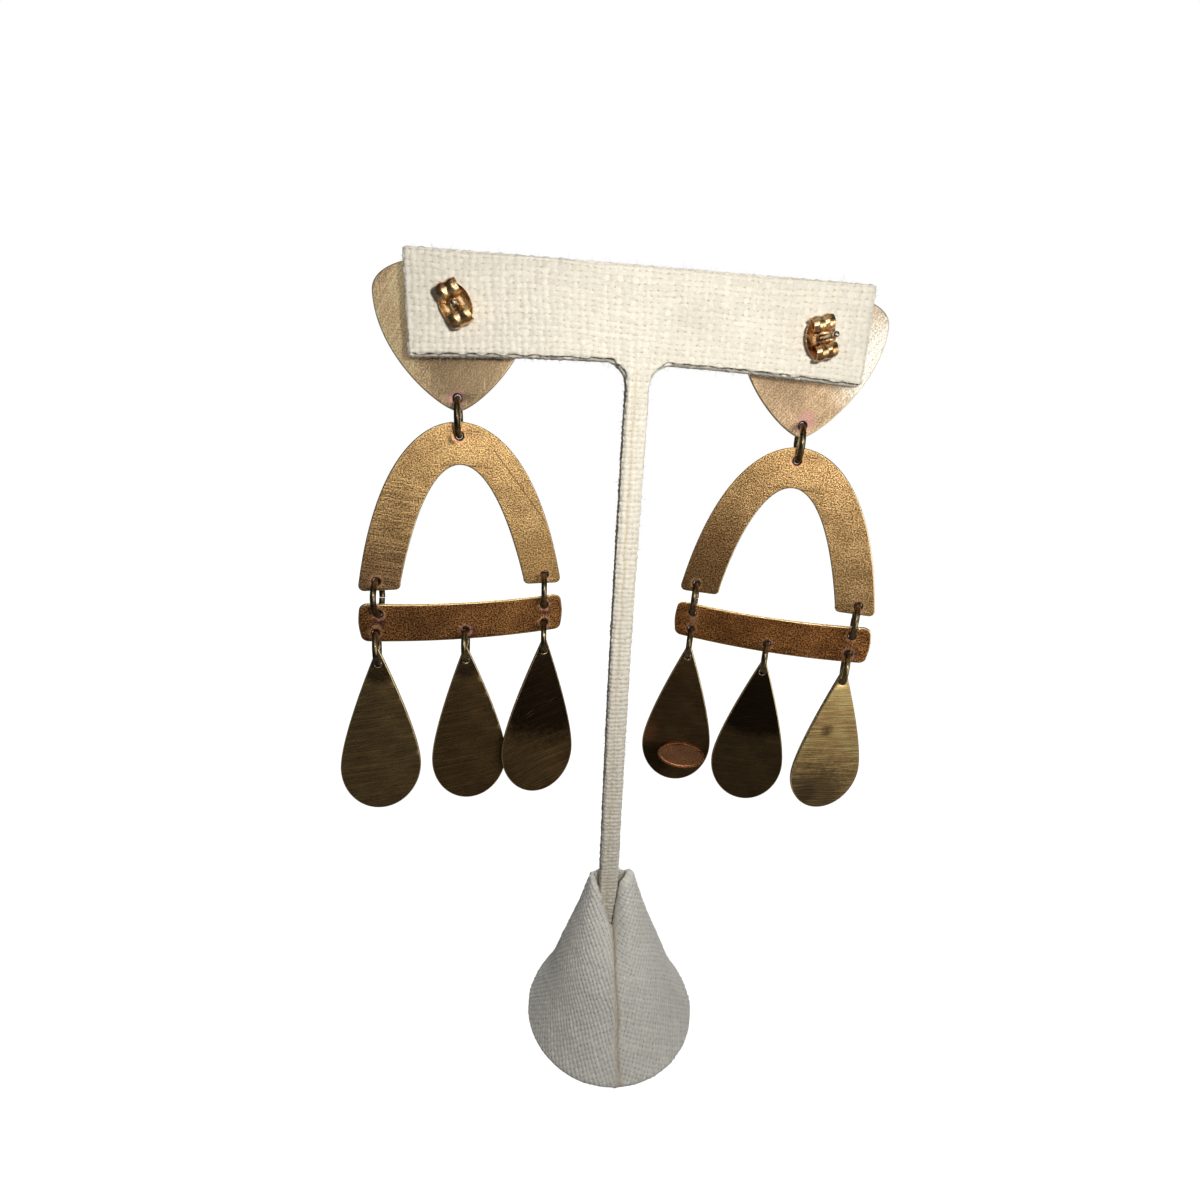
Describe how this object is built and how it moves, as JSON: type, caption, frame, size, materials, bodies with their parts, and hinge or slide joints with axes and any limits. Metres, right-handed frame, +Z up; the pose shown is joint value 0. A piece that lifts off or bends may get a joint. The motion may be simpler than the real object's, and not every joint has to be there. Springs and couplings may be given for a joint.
{
  "type": "pair of chandelier earrings on a T-bar display stand",
  "caption": "Flat sheet-metal chandelier earrings with arches, bars and hanging teardrops, linked by jump rings and hung on a small cloth-wrapped T-bar stand.",
  "frame": {"origin": "centre of the base's flat underside, where the stand rests", "axes": "+Z up along the stand, +X to the right along the crossbar as seen from the back of the pair, -Y towards the backs with the clutches, +Y the show side"},
  "size_m": [0.0889, 0.0322, 0.1325],
  "materials": {
    "linen": "coarse plain-weave natural linen, glued over board",
    "pale_brass": "finely brushed, pale",
    "satin_brass": "sanded satin",
    "brown_brass": "sanded, browned",
    "olive_brass": "cross-brushed, darkened",
    "antique_wire": "darkened wire with bright crowns",
    "bright_gold": "polished gold plate"
  },
  "bodies": {
    "stand": {"stand_tbar": "linen", "stand_base": "linen", "left_top_plate": "pale_brass", "left_clutch": "bright_gold", "right_top_plate": "pale_brass", "right_clutch": "bright_gold"},
    "left_arch_body": {"left_top_ring": "antique_wire", "left_arch": "satin_brass"},
    "left_bar_body": {"left_bar_ring_1": "antique_wire", "left_bar_ring_2": "antique_wire", "left_bar": "brown_brass", "left_drop_ring_1": "antique_wire", "left_drop_ring_2": "antique_wire", "left_drop_ring_3": "antique_wire", "left_drop_1": "olive_brass", "left_drop_2": "olive_brass", "left_drop_3": "olive_brass"},
    "right_arch_body": {"right_top_ring": "antique_wire", "right_arch": "satin_brass"},
    "right_bar_body": {"right_bar_ring_1": "antique_wire", "right_bar_ring_2": "antique_wire", "right_bar": "brown_brass", "right_drop_ring_1": "antique_wire", "right_drop_ring_2": "antique_wire", "right_drop_ring_3": "antique_wire", "right_drop_1": "olive_brass", "right_drop_2": "olive_brass", "right_drop_3": "olive_brass"}
  },
  "joints": [
    {"name": "left_arch_swing", "type": "hinge", "parent": "stand", "child": "left_arch_body", "pos_m": [-0.02591, 0.00265, 0.1114], "axis": [1, 0, 0], "range_deg": [-80, 80]},
    {"name": "left_bar_swing", "type": "hinge", "parent": "left_arch_body", "child": "left_bar_body", "pos_m": [-0.02603, 0.00262, 0.0846], "axis": [0.9744, 0.2249, -0.0052], "range_deg": [-40, 80]},
    {"name": "right_arch_swing", "type": "hinge", "parent": "stand", "child": "right_arch_body", "pos_m": [0.02534, 0.00265, 0.10923], "axis": [1, 0, 0], "range_deg": [-80, 80]},
    {"name": "right_bar_swing", "type": "hinge", "parent": "right_arch_body", "child": "right_bar_body", "pos_m": [0.02455, 0.00293, 0.08244], "axis": [0.9449, -0.3254, -0.0349], "range_deg": [-40, 80]}
  ]
}
